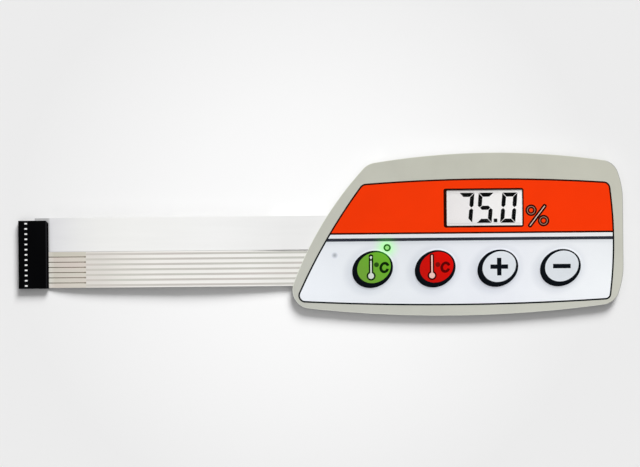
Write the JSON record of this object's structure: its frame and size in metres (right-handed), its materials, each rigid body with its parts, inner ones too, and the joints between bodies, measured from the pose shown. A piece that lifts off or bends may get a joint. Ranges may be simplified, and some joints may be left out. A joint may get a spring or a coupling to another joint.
{
  "type": "membrane keypad",
  "caption": "Flat laminated membrane keypad with embossed keys, a display window and status lamps, and a film tail that ends in a crimped pin connector.",
  "frame": {"origin": "middle of the panel's rear face, on the surface it lies on or is stuck to", "axes": "+X from the tail towards the panel's far end, +Y towards the display's side of the panel, +Z out of the printed face"},
  "size_m": [0.296, 0.0795, 0.0044],
  "materials": {
    "overlay_film": "fine matt polyester, printed on its rear face",
    "adhesive": "clear acrylic, seen as a pale edge",
    "spacer_film": "milky polyester film",
    "circuit_film": "milky polyester film with printed tracks",
    "plate": "satin light grey sheet",
    "liner": "siliconised kraft paper",
    "dome_steel": "bright formed strip",
    "lamp": "moulded clear lens",
    "display_glass": "polished float glass",
    "polariser": "anti-glare film",
    "display_tape": "black foam tape",
    "housing": "satin black moulding",
    "contact": "tin-plated strip"
  },
  "bodies": {
    "root": {"graphic_overlay": "overlay_film", "overlay_adhesive": "adhesive", "dome_spacer": "spacer_film", "snap_dome_1": "dome_steel", "snap_dome_2": "dome_steel", "snap_dome_3": "dome_steel", "snap_dome_4": "dome_steel", "status_led": "lamp", "spare_led": "lamp", "upper_circuit": "circuit_film", "circuit_spacer": "spacer_film", "lower_circuit": "circuit_film", "plate_adhesive": "adhesive", "backing_plate": "plate", "rear_adhesive": "adhesive", "release_liner": "liner", "lcd_front_polariser": "polariser", "lcd_front_glass": "display_glass", "lcd_rear_glass": "display_glass", "lcd_rear_polariser": "polariser", "lcd_tape": "display_tape", "connector_housing": "housing", "contact_01": "contact", "contact_02": "contact", "contact_03": "contact", "contact_04": "contact", "contact_05": "contact", "contact_06": "contact", "contact_07": "contact", "contact_08": "contact", "contact_09": "contact", "contact_10": "contact", "contact_11": "contact", "contact_12": "contact", "contact_13": "contact"}
  },
  "joints": []
}
